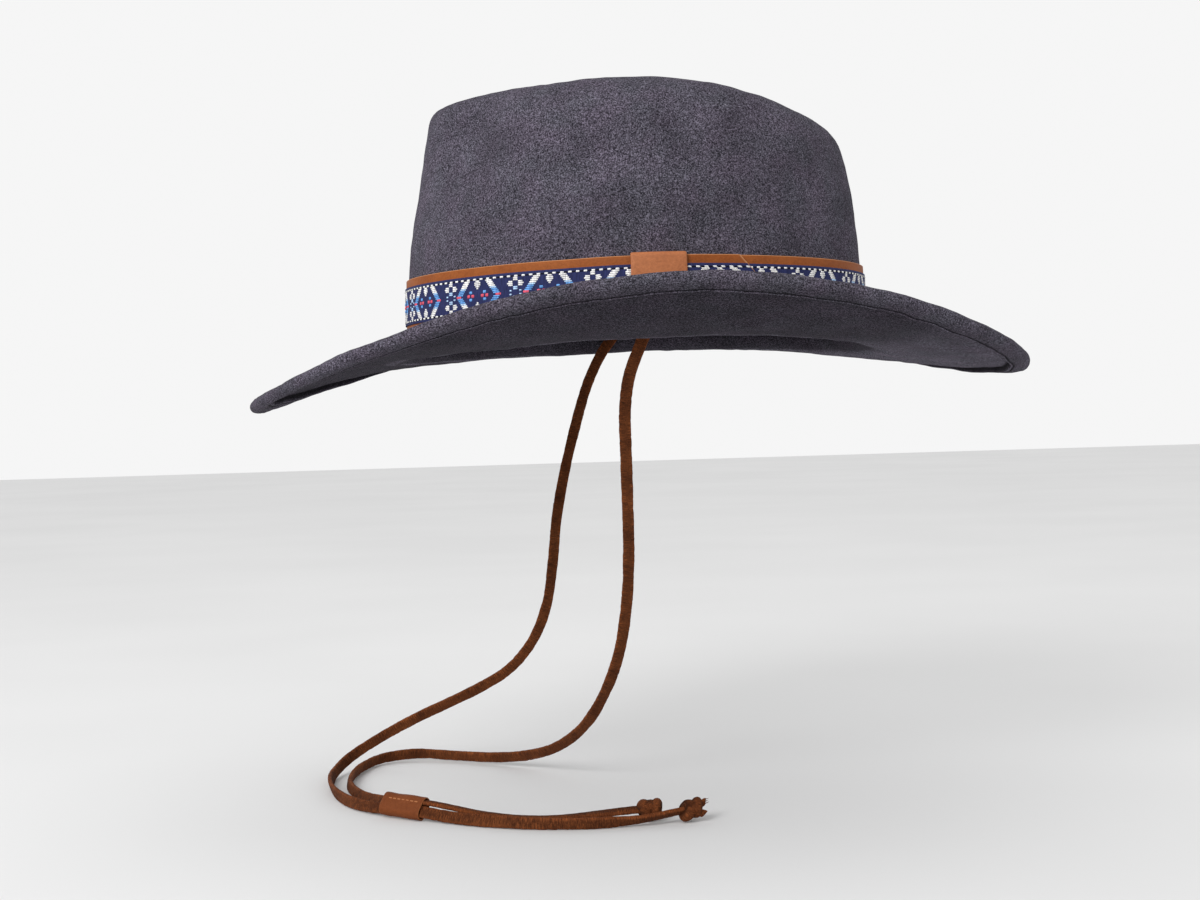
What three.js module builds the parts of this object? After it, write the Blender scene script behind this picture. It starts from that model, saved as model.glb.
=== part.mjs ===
// A wide brimmed felt hat with a creased crown, a woven band on a leather belt and a leather chin lace.
// Units are millimetres. +X points to the back of the hat, -Y to the wearer's left and +Z up.
// The origin is the centre of the head opening, level with the felt's bend at the two sides.

import * as THREE from 'three';

// Felt
const FELT = 2.5;
const WELT_WIDTH = 11;
const FILLET = 8;
const FELT_SIDES = 60;

// Crown rings from the middle of the top dent down to the brim. front, back and side are the ring's
// reach from the crown's middle, height its level, arc its share of the top's long arc, egg how much
// wider it is at the back than at the front, and foot how much it follows the brim's bend.
const CROWN_RINGS = [
  { name: 'dent middle', front: 0, back: 0, side: 0, height: 95, arc: 0.9, egg: 0.0, foot: 0 },
  { name: 'dent floor', front: 36, back: 40, side: 14, height: 96.5, arc: 0.9, egg: 0.3, foot: 0 },
  { name: 'dent wall', front: 56, back: 58, side: 27, height: 104, arc: 0.95, egg: 0.3, foot: 0 },
  { name: 'inner slope', front: 70, back: 71, side: 40, height: 113, arc: 1.0, egg: 0.24, foot: 0 },
  { name: 'ridge', front: 84, back: 81.5, side: 54, height: 115.2, arc: 1.0, egg: 0.16, foot: 0 },
  { name: 'shoulder', front: 91.5, back: 89.7, side: 67, height: 110.8, arc: 0.72, egg: 0.1, foot: 0 },
  { name: 'wall high', front: 94.5, back: 96, side: 76, height: 98.5, arc: 0.42, egg: 0.05, foot: 0 },
  { name: 'wall middle', front: 98.7, back: 100.5, side: 81.5, height: 73, arc: 0.15, egg: 0.02, foot: 0 },
  { name: 'wall low', front: 101.7, back: 102.4, side: 84.4, height: 54, arc: 0.04, egg: 0, foot: 0 },
  { name: 'band top', front: 103.6, back: 103.8, side: 86.2, height: 36, arc: 0, egg: 0, foot: 0 },
  { name: 'base', front: 104.3, back: 104.3, side: 87, height: 0, arc: 0, egg: 0, foot: 1 },
];
const RING_STEPS = 2;

// The top's long arc: its highest place and how fast it falls forward and backward.
const ARC_PEAK_X = -10;
const ARC_FORWARD = 0.0008;
const ARC_BACKWARD = 0.00235;

// The soft pinch on both front corners of the crown.
const PINCH = { x: -77, y: 44, z: 89, reach: 22, tall: 27, depth: 8, backward: 0.45, inward: 0.85 };

// Brim rows every 45 degrees from the back to the front. bend is the level where the wall starts to
// turn outward, slope the brim's first slope in degrees and rim the level of its upper edge.
const BRIM_ROWS = [
  { name: 'back', bend: 4.6, slope: -14, rim: -12.4 },
  { name: 'back quarter', bend: 8.6, slope: -7, rim: 4.8 },
  { name: 'side', bend: 10.3, slope: 3, rim: 23.6 },
  { name: 'front quarter', bend: 7.2, slope: -4, rim: -2.0 },
  { name: 'front', bend: 4.4, slope: 2, rim: -23.5 },
];
const RIM = { x: 0.4, long: 178.6, wide: 160 };
const FILLET_STEPS = 4;
const BRIM_STEPS = 7;
const RIM_ROUND_STEPS = 3;
const RIM_PLACE = 3;
const NEAR_RIM_PLACE = 2.9;
const WELT_START_PLACE = 2.8;
const NORMAL_STEP = 0.002;

// Hat band: a leather belt with a woven ribbon on it, lapped at the wearer's left. Its foot is a
// little higher at the back, by the tilt, and lower at front and back than at the sides, by the sag.
const BAND_STEPS = 96;
const BAND_FOOT = 9.95;
const BAND_TILT = 0.6;
const BAND_SAG = 2.1;
const BELT_HEIGHT = 24.5;
const BELT_THICK = 1.2;
const RIBBON_HEIGHT = 17;
const RIBBON_THICK = 0.6;
const BAND_GAP = 0.35;
const RIBBON_GAP = 0.2;
const LAYER_PITCH = BELT_THICK + RIBBON_GAP + RIBBON_THICK + BAND_GAP;
const UNDER_END_X = -17;
const OUTER_END_X = 37;
const CUT_SLANT = 17;
const LAP_RAMP = 24;
const CUT_SECTIONS = 7;

// Keeper: a leather sleeve round both layers of the band.
const KEEPER = { from: -11, to: 11.4, slack: 0.3, wall: 1.0, stand: 0.75, back: 0.7, front: 1.1, steps: 4 };

// Chin lace: flat leather. The routes run from the crown's inner wall down to the knots.
const LACE_WIDE = 5.2;
const LACE_THICK = 2.2;
const LACE_STEP = 13;
const LACE_EXIT = { x: -2, y: 83, z: 9 };
const HIDDEN = { long: 99.6, wide: 82.6, above: 1.2, rise: 21, run: 30, points: 40, steps: 28, crowd: 0.11 };

const NEAR_ROUTE = [
  [-2, -83, 9], [-7.5, -82, -3], [-12, -77, -16], [-13.5, -71, -30], [-12.8, -63, -47], [-11.5, -51, -69],
  [-10.2, -37, -92], [-10, -21, -115], [-12.1, -2, -140], [-17.1, 18, -161], [-25.4, 39, -180],
  [-37, 62, -194], [-51, 84, -202], [-68, 101, -205.5], [-88, 114, -206], [-109, 122, -205.5],
  [-125, 117, -206.2], [-135, 97, -206.6], [-139.5, 72, -206.6], [-140, 50, -206.6], [-137, 32, -206.5],
  [-132, 14, -205.6], [-126, -1, -203.6], [-119, -13.5, -201.4], [-110.5, -20.9, -200.9],
  [-102.7, -27.1, -200.9], [-91, -34, -203], [-79, -40, -205.2], [-62, -46, -206.5],
  [-45, -49, -206.6], [-27, -49.5, -206], [-12, -51, -204.5],
];
const FAR_ROUTE = [
  [-2, 83, 9], [-9.5, 82, -1], [-17, 81, -16], [-23.5, 80, -36], [-29.5, 79, -58], [-34.6, 79, -83],
  [-37.2, 80, -106], [-40.8, 82, -127], [-48, 85, -144.5], [-60, 89, -158.9], [-75, 93, -168.3],
  [-91, 97, -176], [-108, 102, -184], [-126, 106, -193.6], [-141, 98, -201.5], [-148, 83, -205.8],
  [-149.5, 63, -206.6], [-147, 38, -206.6], [-142, 18, -206.6], [-136, 4, -206.6], [-129, -7, -206.4],
  [-120.4, -17.1, -205.6], [-112.5, -23.5, -205.3], [-104.6, -29.7, -205.4], [-93, -38, -206.4],
  [-80, -47, -206.6], [-63, -56, -206.6], [-46, -61.5, -206.6], [-29, -63.5, -206.6],
  [-11, -62, -206.2], [5, -58.5, -204.5],
];

// How the laces twist about themselves: at a share of the route, turned so many degrees.
const NEAR_TWIST = [
  { at: 0, turn: 0 }, { at: 0.3, turn: 0 }, { at: 0.5, turn: 45 }, { at: 0.72, turn: 45 },
  { at: 0.81, turn: 22 }, { at: 0.855, turn: 22 }, { at: 0.92, turn: 78 }, { at: 1, turn: 78 },
];
const FAR_TWIST = [
  { at: 0, turn: 0 }, { at: 0.6, turn: 0 }, { at: 0.73, turn: -49 }, { at: 0.8, turn: -49 },
  { at: 0.92, turn: 0 }, { at: 1, turn: 0 },
];

// Slider: a flat leather sleeve round both laces, its section leaning back.
const SLIDER = {
  middle: [-111.5, -22.2, -203.1], along: [1, -0.79, 0], lean: 37,
  length: 16.5, tall: 14.2, deep: 6.2, wall: 1.0, roundSides: 6,
};

// Knots at the two lace ends: half sizes, and the stub of lace beyond each.
const KNOTS = [
  { node: 'knot_near', middle: [-4.6, -52, -203.7], along: [1, -0.1, 0.1], long: 6.6, round: 5.2, stub: 3 },
  { node: 'knot_far', middle: [12.4, -56.5, -203.7], along: [1, 0.15, 0.05], long: 6.6, round: 5.2, stub: 6 },
];
const KNOT_STUB_ROUND = 1.8;
const KNOT_SIDES = 12;

const vec = (values) => new THREE.Vector3(...values);
const ease = (share) => THREE.MathUtils.smoothstep(share, 0, 1);

// A smooth even curve round the hat through the five brim rows.
function aroundBrim(column, angle) {
  const last = BRIM_ROWS.length - 1;
  let sum = 0;
  for (let wave = 0; wave <= last; wave++) {
    let weight = 0;
    for (let row = 0; row <= last; row++) {
      const half = row === 0 || row === last ? 0.5 : 1;
      weight += half * BRIM_ROWS[row][column] * Math.cos((Math.PI * wave * row) / last);
    }
    const share = wave === 0 || wave === last ? 0.5 : 1;
    sum += share * (2 / last) * weight * Math.cos(wave * angle);
  }
  return sum;
}

// A Catmull-Rom curve through one column of the crown's rings, with place counted in rings.
function alongRings(column, place) {
  const last = CROWN_RINGS.length - 1;
  const index = Math.min(Math.floor(place), last - 1);
  const value = (ring) => {
    if (ring < 0) return 2 * CROWN_RINGS[0][column] - CROWN_RINGS[1][column];
    if (ring > last) return 2 * CROWN_RINGS[last][column] - CROWN_RINGS[last - 1][column];
    return CROWN_RINGS[ring][column];
  };
  const [a, b, c, d] = [-1, 0, 1, 2].map((step) => value(index + step));
  const t = place - index;
  return b + 0.5 * t * (c - a + t * (2 * a - 5 * b + 4 * c - d + t * (3 * (b - c) + d - a)));
}

// Lowers a level by the long arc of the crown's top.
function topArc(x) {
  const away = x - ARC_PEAK_X;
  return -(away < 0 ? ARC_FORWARD : ARC_BACKWARD) * away * away;
}

function pinched(point) {
  for (const side of [-1, 1]) {
    const dx = (point.x - PINCH.x) / PINCH.reach;
    const dy = (point.y - side * PINCH.y) / PINCH.reach;
    const dz = (point.z - PINCH.z) / PINCH.tall;
    const push = PINCH.depth * Math.exp(-(dx * dx + dy * dy + dz * dz));
    point.x += PINCH.backward * push;
    point.y -= PINCH.inward * side * push;
  }
  return point;
}

function crownPoint(place, angle) {
  const turn = Math.cos(angle);
  const reach = alongRings(turn > 0 ? 'back' : 'front', place);
  const x = reach * turn;
  const y = alongRings('side', place) * Math.sin(angle) * (1 + alongRings('egg', place) * turn);
  const foot = alongRings('foot', place);
  const arc = alongRings('arc', place) * topArc(x);
  const z = alongRings('height', place) + arc + foot * aroundBrim('bend', angle);
  return pinched(new THREE.Vector3(x, y, z));
}

// The brim's upper face: the wall's fillet for share 0 to 1, then the brim out to the rim for 1 to 2.
function brimPoint(share, angle) {
  const base = crownPoint(CROWN_RINGS.length - 1, angle);
  const rim = new THREE.Vector3(RIM.x + RIM.long * Math.cos(angle), RIM.wide * Math.sin(angle), 0);
  const out = rim.clone().sub(base).setZ(0);
  const reach = out.length();
  out.normalize();
  const slope = THREE.MathUtils.degToRad(aroundBrim('slope', angle));
  const turned = (Math.PI / 2 + slope) * Math.min(share, 1);
  let away = FILLET * (1 - Math.cos(turned));
  let z = base.z - FILLET * Math.sin(turned);
  if (share > 1) {
    const span = reach - away;
    const run = span * (share - 1);
    const curl = (aroundBrim('rim', angle) - z - Math.tan(slope) * span) / (span * span);
    z += Math.tan(slope) * run + curl * run * run;
    away += run;
  }
  return base.addScaledVector(out, away).setZ(z);
}

// The felt's outer skin: place 0 is the dent's middle, 1 the wall's foot, 2 the fillet's end, 3 the rim.
function skinPoint(place, angle) {
  return place < 1 ? crownPoint(place * (CROWN_RINGS.length - 1), angle) : brimPoint(place - 1, angle);
}

function skinNormal(place, angle) {
  const before = Math.max(place - NORMAL_STEP, NORMAL_STEP);
  const after = Math.min(place + NORMAL_STEP, RIM_PLACE);
  const down = skinPoint(after, angle).sub(skinPoint(before, angle));
  const round = skinPoint(place, angle + NORMAL_STEP).sub(skinPoint(place, angle - NORMAL_STEP));
  return down.cross(round).normalize();
}

// Joins rings of equally many points into one closed skin. A ring of one point is a pole.
function closedSkin(rings) {
  const points = rings.flat();
  const starts = [];
  rings.reduce((sum, ring) => { starts.push(sum); return sum + ring.length; }, 0);
  const pair = (row, i, next) => (
    rings[row].length > 1 ? [starts[row] + i, starts[row] + next] : [starts[row], starts[row]]
  );
  const faces = [];
  for (let row = 0; row < rings.length - 1; row++) {
    const count = Math.max(rings[row].length, rings[row + 1].length);
    for (let i = 0; i < count; i++) {
      const next = (i + 1) % count;
      const [a, b] = pair(row, i, next);
      const [c, d] = pair(row + 1, i, next);
      if (a !== b) faces.push(a, d, b);
      if (c !== d) faces.push(a, c, d);
    }
  }
  return skinGeometry(points, faces);
}

function skinGeometry(points, faces) {
  const geometry = new THREE.BufferGeometry();
  geometry.setAttribute('position', new THREE.Float32BufferAttribute(points.flatMap((p) => p.toArray()), 3));
  geometry.setIndex(faces);
  geometry.computeVertexNormals();
  return geometry;
}

function piece(name, geometry, color, roughness) {
  const material = new THREE.MeshStandardMaterial({ color, roughness, metalness: 0 });
  const mesh = new THREE.Mesh(geometry, material);
  mesh.name = name;
  return mesh;
}

// Felt body: outer skin, rounded rim, folded welt below, then the inner skin back to the dent's middle.
function feltBody() {
  const angles = Array.from({ length: FELT_SIDES }, (_, i) => (2 * Math.PI * i) / FELT_SIDES);
  const crownRows = (CROWN_RINGS.length - 1) * RING_STEPS;
  const places = [];
  for (let i = 1; i < crownRows; i++) places.push(i / crownRows);
  for (let i = 0; i < FILLET_STEPS; i++) places.push(1 + i / FILLET_STEPS);
  for (let i = 0; i < BRIM_STEPS; i++) places.push(2 + i / BRIM_STEPS);

  const offset = (place, angle, depth) => (
    skinPoint(place, angle).addScaledVector(skinNormal(place, angle), -depth)
  );
  const ring = (place, depth) => angles.map((angle) => offset(place, angle, depth));
  const top = skinPoint(0, 0);

  // The rim rounds over the felt and the welt beneath it.
  const rimRings = [];
  for (let i = 0; i <= RIM_ROUND_STEPS; i++) {
    const turn = (Math.PI * i) / RIM_ROUND_STEPS;
    rimRings.push(angles.map((angle) => {
      const out = skinPoint(RIM_PLACE, angle).sub(skinPoint(NEAR_RIM_PLACE, angle)).normalize();
      const normal = skinNormal(RIM_PLACE, angle);
      return skinPoint(RIM_PLACE, angle).addScaledVector(normal, -FELT * (1 - Math.cos(turn)))
        .addScaledVector(out, FELT * (Math.sin(turn) - 1));
    }));
  }
  const weltPlace = (angle) => {
    const width = skinPoint(RIM_PLACE, angle).distanceTo(skinPoint(RIM_PLACE - 1, angle));
    return RIM_PLACE - WELT_WIDTH / width;
  };
  const weltRing = (depth) => angles.map((angle) => offset(weltPlace(angle), angle, depth));
  const inner = places.filter((place) => place < WELT_START_PLACE).reverse();
  return closedSkin([
    [top],
    ...places.map((place) => ring(place, 0)),
    ...rimRings,
    weltRing(2 * FELT),
    weltRing(FELT),
    ...inner.map((place) => ring(place, FELT)),
    [top.clone().setZ(top.z - FELT)],
  ]);
}

// A place on the crown's outer wall, height above the band's foot and proud of the felt.
function wallPoint(angle, height, proud) {
  const bend = aroundBrim('bend', angle);
  const foot = BAND_FOOT + BAND_TILT * Math.cos(angle) - BAND_SAG * Math.cos(angle) ** 2;
  const base = CROWN_RINGS[CROWN_RINGS.length - 1];
  const above = CROWN_RINGS[CROWN_RINGS.length - 2];
  const share = THREE.MathUtils.clamp((foot + height - bend) / (above.height - bend), 0, 1);
  const long = THREE.MathUtils.lerp(base.front, above.back, share);
  const wide = THREE.MathUtils.lerp(base.side, above.side, share);
  const normal = new THREE.Vector3(Math.cos(angle) / long, Math.sin(angle) / wide, 0).normalize();
  return new THREE.Vector3(long * Math.cos(angle), wide * Math.sin(angle), foot + height)
    .addScaledVector(normal, proud);
}

// Turns a place along the wearer's left side into an angle of the band, near minus 90 degrees.
const sideAngle = (x) => -Math.PI / 2 + Math.asin(x / CROWN_RINGS[CROWN_RINGS.length - 1].front);

// How far the band stands off the felt: over the keeper's back, and over its own under end.
function standOff(angle) {
  const around = 2 * Math.PI;
  const base = CROWN_RINGS[CROWN_RINGS.length - 1].front;
  const side = ((angle + Math.PI / 2 + Math.PI) % around + around) % around - Math.PI;
  const x = base * side;
  const beyond = Math.max(KEEPER.from - x, x - KEEPER.to, 0);
  const keeperLift = (KEEPER.stand + KEEPER.back) * (1 - ease(beyond / LAP_RAMP));
  const underEnd = sideAngle(UNDER_END_X) + around;
  const lap = ease((angle - underEnd) * base / LAP_RAMP + 1);
  return BAND_GAP + keeperLift + lap * LAYER_PITCH;
}

// A strip of the band from its under end, once round and over itself to the slanted outer end.
function bandStrip(low, high, inside, thick) {
  const start = sideAngle(UNDER_END_X);
  const end = sideAngle(OUTER_END_X) + 2 * Math.PI;
  const step = (2 * Math.PI) / BAND_STEPS;
  const angles = [];
  for (let angle = start; angle < end - step * 0.2; angle += step) angles.push(angle);
  angles.push(end);
  const base = CROWN_RINGS[CROWN_RINGS.length - 1].front;
  const section = (angle) => {
    const slant = (CUT_SLANT / base) * THREE.MathUtils.clamp(1 - (end - angle) / (CUT_SECTIONS * step), 0, 1);
    const lowAngle = angle + slant * (1 - low / BELT_HEIGHT);
    const highAngle = angle + slant * (1 - high / BELT_HEIGHT);
    const corner = (at, height, proud) => wallPoint(at, height, standOff(at) + proud);
    return [
      corner(lowAngle, low, inside), corner(lowAngle, low, inside + thick),
      corner(highAngle, high, inside + thick), corner(highAngle, high, inside),
    ];
  };
  return sweptSections(angles.map(section));
}

// Closes a row of sections with a cap at each end, each quad split along its shorter diagonal.
function sweptSections(sections) {
  const sides = sections[0].length;
  const points = sections.flat();
  const faces = [];
  for (let row = 0; row < sections.length - 1; row++) {
    for (let i = 0; i < sides; i++) {
      const a = row * sides + i;
      const b = row * sides + ((i + 1) % sides);
      const [c, d] = [b + sides, a + sides];
      const straight = points[a].distanceTo(points[c]) < points[b].distanceTo(points[d]);
      faces.push(...(straight ? [a, c, b, a, d, c] : [a, d, b, b, d, c]));
    }
  }
  const last = (sections.length - 1) * sides;
  for (let i = 1; i < sides - 1; i++) {
    faces.push(0, i, i + 1);
    faces.push(last, last + i + 1, last + i);
  }
  return skinGeometry(points, faces);
}

// A sleeve from rows of matching outer and inner loops.
function sleeve(rows) {
  const sides = rows[0].outer.length;
  const points = rows.flatMap((row) => [...row.outer, ...row.inner]);
  const stride = 2 * sides;
  const faces = [];
  for (let row = 0; row < rows.length - 1; row++) {
    for (let i = 0; i < sides; i++) {
      const next = (i + 1) % sides;
      const [a, b] = [row * stride + i, row * stride + next];
      const [c, d] = [a + sides, b + sides];
      faces.push(a, b, b + stride, a, b + stride, a + stride);
      faces.push(c, d + stride, d, c, c + stride, d + stride);
    }
  }
  const last = (rows.length - 1) * stride;
  for (let i = 0; i < sides; i++) {
    const next = (i + 1) % sides;
    faces.push(i, i + sides, next + sides, i, next + sides, next);
    faces.push(last + i, last + next + sides, last + i + sides, last + i, last + next, last + next + sides);
  }
  return skinGeometry(points, faces);
}

function keeper() {
  const inside = KEEPER.stand + KEEPER.back;
  const proud = inside + BAND_GAP + 2 * LAYER_PITCH;
  const low = -KEEPER.slack;
  const high = BELT_HEIGHT + KEEPER.slack;
  const rows = [];
  for (let i = 0; i <= KEEPER.steps; i++) {
    const x = THREE.MathUtils.lerp(KEEPER.from, KEEPER.to, i / KEEPER.steps);
    const angle = sideAngle(x);
    const at = (height, away) => wallPoint(angle, height, away);
    const outerLow = low - KEEPER.wall;
    const outerHigh = high + KEEPER.wall;
    rows.push({
      outer: [at(outerLow, KEEPER.stand), at(outerHigh, KEEPER.stand),
        at(outerHigh, proud + KEEPER.front), at(outerLow, proud + KEEPER.front)],
      inner: [at(low, inside), at(high, inside), at(high, proud), at(low, proud)],
    });
  }
  return sleeve(rows);
}

// A smooth curve whose section also turns about it, by the rows of a twist table.
class TwistedRoute extends THREE.CatmullRomCurve3 {
  constructor(route, twist) {
    super(route, false, 'centripetal');
    this.twist = twist;
  }

  turnAt(share) {
    const after = Math.max(this.twist.findIndex((row) => row.at >= share), 1);
    const [from, to] = [this.twist[after - 1], this.twist[after]];
    const turn = THREE.MathUtils.lerp(from.turn, to.turn, ease((share - from.at) / (to.at - from.at)));
    return THREE.MathUtils.degToRad(turn);
  }

  computeFrenetFrames(segments, closed) {
    const frames = super.computeFrenetFrames(segments, closed);
    for (let i = 0; i <= segments; i++) {
      const turn = this.turnAt(i / segments);
      frames.normals[i].applyAxisAngle(frames.tangents[i], turn);
      frames.binormals[i].applyAxisAngle(frames.tangents[i], turn);
    }
    return frames;
  }
}

const NO_TWIST = [{ at: 0, turn: 0 }, { at: 1, turn: 0 }];

// A flat lace: a flattened eight-sided section drawn along a smooth curve.
function lace(route, twist = NO_TWIST, steps = 0) {
  const half = LACE_WIDE / 2;
  const thin = LACE_THICK / 2;
  const corner = 0.55;
  const outline = [
    [thin, half * corner], [thin * corner, half], [-thin * corner, half], [-thin, half * corner],
    [-thin, -half * corner], [-thin * corner, -half], [thin * corner, -half], [thin, -half * corner],
  ];
  const section = new THREE.Shape(outline.map(([x, y]) => new THREE.Vector2(x, y)));
  const extrudePath = new TwistedRoute(route, twist);
  return new THREE.ExtrudeGeometry(section, {
    extrudePath, steps: steps || Math.round(extrudePath.getLength() / LACE_STEP),
  });
}

// The lace's hidden stretch: up the inner wall from each exit and round the back of the crown.
function hiddenRoute() {
  const points = [];
  const first = Math.asin(LACE_EXIT.x / HIDDEN.long) - Math.PI / 2;
  for (let i = 0; i <= HIDDEN.points; i++) {
    const share = i / HIDDEN.points;
    const crowded = share - HIDDEN.crowd * Math.sin(2 * Math.PI * share);
    const angle = THREE.MathUtils.lerp(first, -first, crowded);
    const run = Math.min((-first - Math.abs(angle)) * HIDDEN.wide, HIDDEN.run);
    const climb = Math.sqrt(Math.max(1 - (1 - run / HIDDEN.run) ** 2, 0));
    const x = HIDDEN.long * Math.cos(angle);
    const y = HIDDEN.wide * Math.sin(angle);
    points.push(new THREE.Vector3(x, y, LACE_EXIT.z + HIDDEN.above + HIDDEN.rise * climb));
  }
  return points;
}

function slider() {
  const along = vec(SLIDER.along).normalize();
  const level = new THREE.Vector3(-along.y, along.x, 0);
  const tilt = THREE.MathUtils.degToRad(SLIDER.lean);
  const up = level.clone().multiplyScalar(Math.sin(tilt)).setZ(Math.cos(tilt));
  const across = along.clone().cross(up);
  const middle = vec(SLIDER.middle);
  const loop = (end, shrink) => {
    const radius = SLIDER.deep / 2 - shrink;
    const straight = (SLIDER.tall - SLIDER.deep) / 2;
    const points = [];
    for (const side of [1, -1]) {
      for (let i = 0; i <= SLIDER.roundSides / 2; i++) {
        const turn = (Math.PI * i * 2) / SLIDER.roundSides;
        points.push(middle.clone().addScaledVector(along, end * SLIDER.length / 2)
          .addScaledVector(across, side * radius * Math.cos(turn))
          .addScaledVector(up, side * (straight + radius * Math.sin(turn))));
      }
    }
    return points;
  };
  const rows = [1, -1].map((end) => ({ outer: loop(end, 0), inner: loop(end, SLIDER.wall) }));
  return sleeve(rows);
}

// A knot: a round body on the lace's end with the lace's short stub beyond it.
function knot({ long, round, stub }) {
  const profile = [[0, -long]];
  for (const turn of [30, 60, 90, 120, 150]) {
    const angle = THREE.MathUtils.degToRad(turn);
    profile.push([round * Math.sin(angle), -long * Math.cos(angle)]);
  }
  profile.push([KNOT_STUB_ROUND, long * 0.95], [KNOT_STUB_ROUND, long + stub], [0, long + stub]);
  return new THREE.LatheGeometry(profile.map(([x, y]) => new THREE.Vector2(x, y)), KNOT_SIDES);
}

const hat = new THREE.Group();
hat.add(piece('felt_body', feltBody(), 0x3b3843, 0.95));

const stripFoot = (BELT_HEIGHT - RIBBON_HEIGHT) / 2;
hat.add(piece('band_leather', bandStrip(0, BELT_HEIGHT, 0, BELT_THICK), 0x8a4a25, 0.7));
hat.add(piece('band_ribbon',
  bandStrip(stripFoot, stripFoot + RIBBON_HEIGHT, BELT_THICK + RIBBON_GAP, RIBBON_THICK), 0x1c2147, 0.85));
hat.add(piece('band_keeper', keeper(), 0x9a5a30, 0.7));

hat.add(piece('strap_inside', lace(hiddenRoute(), NO_TWIST, HIDDEN.steps), 0x6b3820, 0.85));
hat.add(piece('strap_near', lace(NEAR_ROUTE.map(vec), NEAR_TWIST), 0x6b3820, 0.85));
hat.add(piece('strap_far', lace(FAR_ROUTE.map(vec), FAR_TWIST), 0x6b3820, 0.85));
hat.add(piece('strap_slider', slider(), 0x8a4a25, 0.75));

for (const row of KNOTS) {
  const mesh = piece(row.node, knot(row), 0x7a4224, 0.85);
  mesh.position.set(...row.middle);
  mesh.quaternion.setFromUnitVectors(new THREE.Vector3(0, 1, 0), vec(row.along).normalize());
  hat.add(mesh);
}

export default hat;
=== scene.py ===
import math

import bpy
import numpy as np
from mathutils import Matrix, Vector


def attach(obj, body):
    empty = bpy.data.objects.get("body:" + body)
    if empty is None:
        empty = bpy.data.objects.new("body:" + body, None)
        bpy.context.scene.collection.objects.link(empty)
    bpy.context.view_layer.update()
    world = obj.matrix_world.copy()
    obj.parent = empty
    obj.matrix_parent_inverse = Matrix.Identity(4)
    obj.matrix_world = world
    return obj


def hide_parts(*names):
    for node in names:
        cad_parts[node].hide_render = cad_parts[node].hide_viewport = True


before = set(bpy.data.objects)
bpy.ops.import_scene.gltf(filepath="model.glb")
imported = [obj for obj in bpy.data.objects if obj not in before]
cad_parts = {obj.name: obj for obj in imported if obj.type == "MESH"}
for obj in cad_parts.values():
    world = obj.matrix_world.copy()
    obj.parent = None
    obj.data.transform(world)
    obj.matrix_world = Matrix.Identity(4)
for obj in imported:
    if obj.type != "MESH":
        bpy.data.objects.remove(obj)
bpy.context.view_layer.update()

# A wide brimmed felt hat with a creased crown, a woven band on a leather belt and a leather chin
# lace. Shapes are worked out in millimetres, as in the part's source, and made in metres.

MM = 0.001
TAU = 2 * math.pi

# Camera: how far it stands from the hat's middle, and its turn.
CAMERA_AWAY = 900.0
CAMERA_SIDE = 18.5
CAMERA_LEVEL = -30.2
CAMERA_YAW = math.radians(4.9)
CAMERA_ROLL = math.radians(-1.6)
FOCAL_PIXELS = 1943.8
SENSOR = 36.0
IMAGE_WIDTH = 1200.0
HORIZON_PIXELS = -38.3

FLOOR_LEVEL = -209.45
FLOOR_CORNERS = [(x, y, FLOOR_LEVEL) for x, y in ((-4e3, -4e3), (4e3, -4e3), (4e3, 6e3), (-4e3, 6e3))]
KEY_PLACE = (-1.3, -1.9, 1.15)
KEY_SIZE = 1.1
KEY_POWER = 40
WORLD_STRENGTH = 0.92

# Felt
FELT = 2.5
FILLET = 8.0
FELT_SIDES = 580
ARC_PEAK_X = -10.0
ARC_FORWARD = 0.0008
ARC_BACKWARD = 0.00235
# Places down the felt's skin, from 0 at the middle of the top dent to the rim.
FOOT_PLACE = 1.0
BEND_PLACE = 2.0
RIM_PLACE = 3.0
FELT_ROWS = dict(crown=58, bend=8, brim=32, rim=9, under=22, inner_bend=6, inner_crown=30)
# Soft unevenness, here and below, is in rows of depth, seed and length.
FELT_DENTS = ((0.28, 3, 34), (0.10, 4, 9))
# The edge folded under the rim: shares of its width, depths in felt thicknesses, and how dark the painted
# shade is there, with a painted shadow in the groove and past the raw edge and a painted highlight just
# past the groove.
WELT_WIDTH = 9.2
WELT_RAGGED = ((0.35, 11, 26), (0.15, 12, 5))
WELT_DENTED = 0.8
WELT_ROWS = (
    (0.3, 2.0, 0.1), (0.6, 2.0, 0.2), (0.74, 2.0, 0.3), (0.79, 1.98, 0.8), (0.82, 1.75, 0.9),
    (0.85, 1.98, 0.7), (0.89, 2.03, -0.1), (0.95, 2.0, 0), (0.99, 1.85, 0.4), (1.012, 1.5, 0.8),
    (1.0, 1.0, 0.9), (1.04, 0.9, 0.8), (1.12, 0.97, 0.55),
)
PAST_WELT = 1.2
# Painted shade on the felt: the value for plain felt, the painted shade under the brim and inside the
# crown, the painted light that lessens it toward the back, and the painted highlight by the bend.
PLAIN_FELT = 0.3
UNDER_PAINTED_SHADE = 0.5
BACK_PAINTED_LIGHT = 0.65
BEND_PAINTED_HIGHLIGHT = 1.5

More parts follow.
